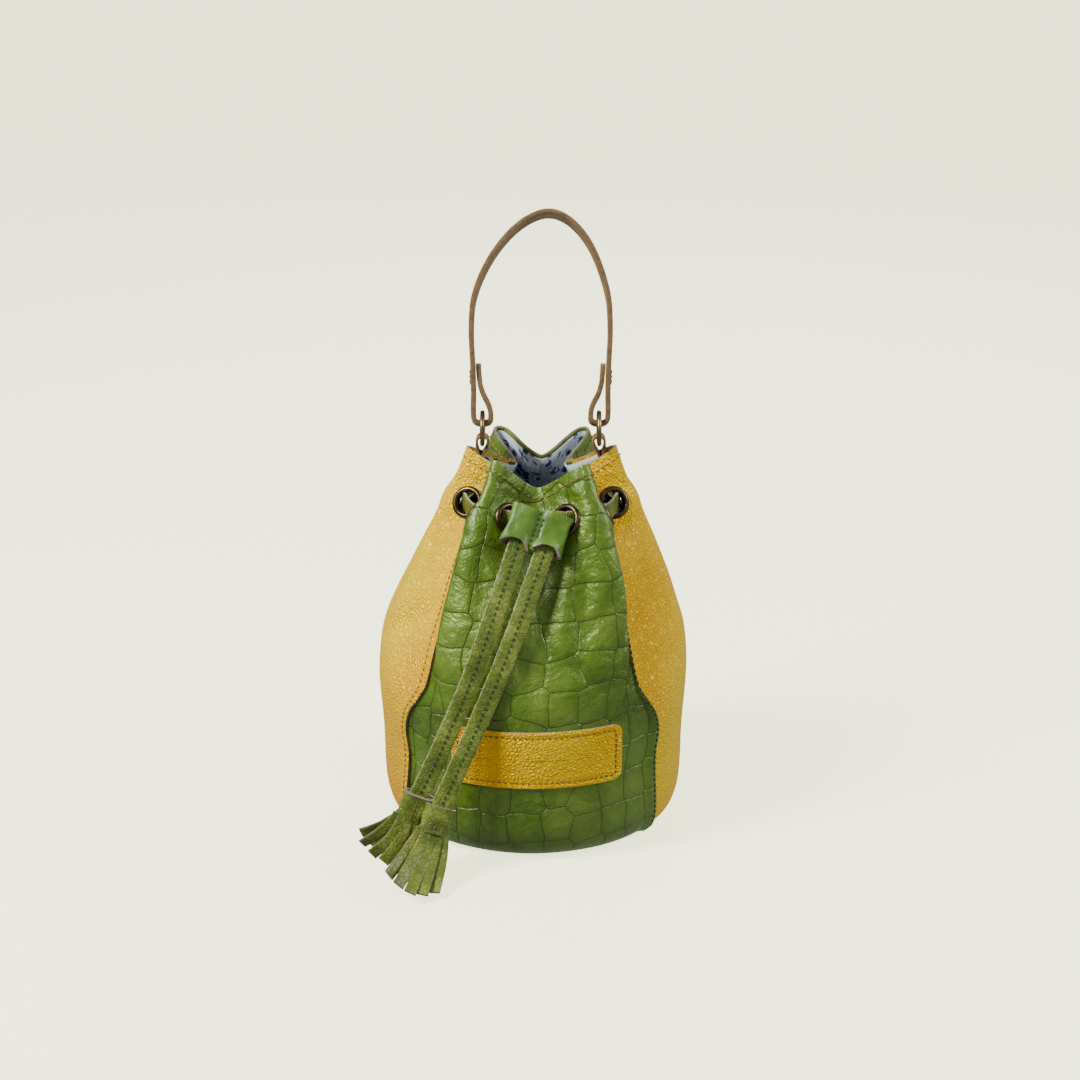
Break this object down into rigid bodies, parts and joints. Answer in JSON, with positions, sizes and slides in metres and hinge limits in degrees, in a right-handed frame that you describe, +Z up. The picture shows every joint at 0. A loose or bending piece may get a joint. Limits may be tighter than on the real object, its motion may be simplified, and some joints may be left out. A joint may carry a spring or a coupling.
{
  "type": "drawstring bucket bag",
  "caption": "Small leather bucket bag gathered by a drawstring through eyelets, with a sliding keeper, fringed tassels, D-rings and a swinging top handle.",
  "frame": {"origin": "on the floor under the middle of the round base, where the bag stands", "axes": "+Z up, -Y towards the front panel with the label, +X to the right seen from the front"},
  "size_m": [0.1843, 0.2185, 0.3366],
  "materials": {
    "green_leather": "glazed crocodile-grain leather with a soft metallic sheen",
    "green_strap": "embossed strap leather with raw pale edges",
    "green_smooth": "smooth satin leather with creases",
    "yellow_leather": "fine pebbled satin leather",
    "tan_leather": "vegetable-tanned strap leather with raw brown edges",
    "lining": "printed cotton, pale ground with a dark blue pattern",
    "board": "grey-brown stiffener board",
    "dark_brass": "antiqued dark brass, worn bright on its edges"
  },
  "bodies": {
    "bag": {"front_panel": "green_leather", "back_panel": "green_leather", "left_side_panel": "yellow_leather", "right_side_panel": "yellow_leather", "base_panel": "green_leather", "base_stiffener": "board", "lining_base": "lining", "lining_wall": "lining", "label_patch": "yellow_leather", "front_eyelets": "dark_brass", "front_washers": "dark_brass", "right_side_eyelets": "dark_brass", "right_side_washers": "dark_brass", "back_eyelets": "dark_brass", "back_washers": "dark_brass", "left_side_eyelets": "dark_brass", "left_side_washers": "dark_brass", "drawstring_loop": "green_strap", "drawstring_end_left": "green_strap", "drawstring_end_right": "green_strap", "tassel_left": "green_strap", "tassel_right": "green_strap", "left_ring_tab": "tan_leather", "right_ring_tab": "tan_leather"},
    "handle": {"handle_strap": "tan_leather"},
    "left_ring": {"left_ring": "dark_brass"},
    "right_ring": {"right_ring": "dark_brass"},
    "slider": {"slider": "green_smooth"}
  },
  "joints": [
    {"name": "handle_swing", "type": "hinge", "parent": "bag", "child": "handle", "pos_m": [0.0045, 0, 0.219], "axis": [1, 0, 0], "range_deg": [-23, 67]},
    {"name": "left_ring_swing", "type": "hinge", "parent": "bag", "child": "left_ring", "pos_m": [-0.0271, 0, 0.21275], "axis": [0, 1, 0], "range_deg": [-2.5, 2.5]},
    {"name": "right_ring_swing", "type": "hinge", "parent": "bag", "child": "right_ring", "pos_m": [0.0361, 0, 0.21275], "axis": [0, 1, 0], "range_deg": [-2.5, 2.5]},
    {"name": "slider_slide", "type": "slide", "parent": "bag", "child": "slider", "axis": [-0.3311, -0.4675, -0.8196], "range_m": [0, 0.02]}
  ]
}
